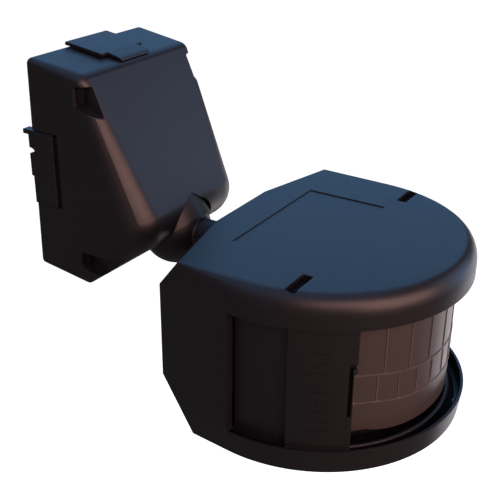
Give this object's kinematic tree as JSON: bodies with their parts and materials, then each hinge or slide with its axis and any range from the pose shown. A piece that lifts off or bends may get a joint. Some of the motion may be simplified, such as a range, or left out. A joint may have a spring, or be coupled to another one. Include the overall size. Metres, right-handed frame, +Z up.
{
  "type": "motion sensor",
  "caption": "Outdoor passive-infrared motion sensor: round-fronted head with a segmented lens and sliding shutters on a ball-jointed wall bracket.",
  "frame": {"origin": "centre of the wall plate's rear face, where the bracket meets the wall", "axes": "+Y into the wall, the sensor looks along -Y; +Z up; +X to the right for someone looking at the wall"},
  "size_m": [0.0928, 0.1411, 0.1017],
  "materials": {
    "case": "satin moulded black",
    "case_inner": "matt moulded black",
    "lens": "smoked translucent polyethylene",
    "steel": "zinc plated",
    "brass": "plain",
    "seal": "matt",
    "board": "solder resist",
    "component_black": "satin",
    "lead": "satin sleeve",
    "component_blue": "satin",
    "nylon": "natural nylon",
    "amber": "clear amber"
  },
  "bodies": {
    "bracket": {"wall_plate": "case_inner", "cable_grommet": "seal", "bracket_cover": "case", "left_entry_insert": "case", "right_entry_insert": "case", "swivel_bridge": "steel", "bridge_screw_left": "steel", "bridge_screw_right": "steel", "terminal_block": "nylon", "terminal_screw_1": "brass", "terminal_screw_2": "brass", "terminal_screw_3": "brass", "bracket_leads": "lead"},
    "latch": {"top_latch": "case"},
    "swivel": {"swivel_cup": "case", "friction_washer": "nylon", "spring_washer": "steel", "swivel_nut": "brass"},
    "head": {"ball_and_neck": "case", "neck_seal": "seal", "neck_nut": "case_inner", "head_housing": "case", "head_base": "case", "lens": "lens", "lens_carrier": "case_inner", "circuit_board": "board", "pir_element": "steel", "photocell": "amber", "status_led": "amber", "relay": "component_blue", "film_capacitor": "component_blue", "storage_capacitor": "component_black", "transformer": "component_black", "lead_connector": "nylon", "time_trimmer": "component_blue", "light_trimmer": "component_blue", "range_trimmer": "component_blue", "head_leads": "lead", "base_screw_left": "steel", "base_screw_right": "steel"},
    "left_shutter": {"left_shutter": "case"},
    "right_shutter": {"right_shutter": "case"},
    "time_dial": {"time_dial": "nylon"},
    "light_dial": {"light_dial": "nylon"},
    "range_dial": {"range_dial": "nylon"}
  },
  "joints": [
    {"name": "latch_lift", "type": "hinge", "parent": "bracket", "child": "latch", "pos_m": [0, -0.0048, 0.0341], "axis": [-1, 0, 0], "range_deg": [0, 35]},
    {"name": "swivel", "type": "hinge", "parent": "bracket", "child": "swivel", "pos_m": [0, -0.0405, -0.0245], "axis": [0, -0.5906, -0.807], "range_deg": [-80, 80]},
    {"name": "tilt", "type": "hinge", "parent": "swivel", "child": "head", "pos_m": [0, -0.0405, -0.0245], "axis": [1, 0, 0], "range_deg": [-2, 45]},
    {"name": "left_shutter_slide", "type": "hinge", "parent": "head", "child": "left_shutter", "pos_m": [0, -0.0947, -0.039], "axis": [0, 0, 1], "range_deg": [-21, 45]},
    {"name": "right_shutter_slide", "type": "hinge", "parent": "head", "child": "right_shutter", "pos_m": [0, -0.0947, -0.039], "axis": [0, 0, 1], "range_deg": [-45, 21]},
    {"name": "time_dial_turn", "type": "hinge", "parent": "head", "child": "time_dial", "pos_m": [-0.016, -0.087, -0.063], "axis": [0, 0, 1], "range_deg": [-135, 135]},
    {"name": "light_dial_turn", "type": "hinge", "parent": "head", "child": "light_dial", "pos_m": [0, -0.087, -0.063], "axis": [0, 0, 1], "range_deg": [-135, 135]},
    {"name": "range_dial_turn", "type": "hinge", "parent": "head", "child": "range_dial", "pos_m": [0.016, -0.087, -0.063], "axis": [0, 0, 1], "range_deg": [-135, 135]}
  ]
}
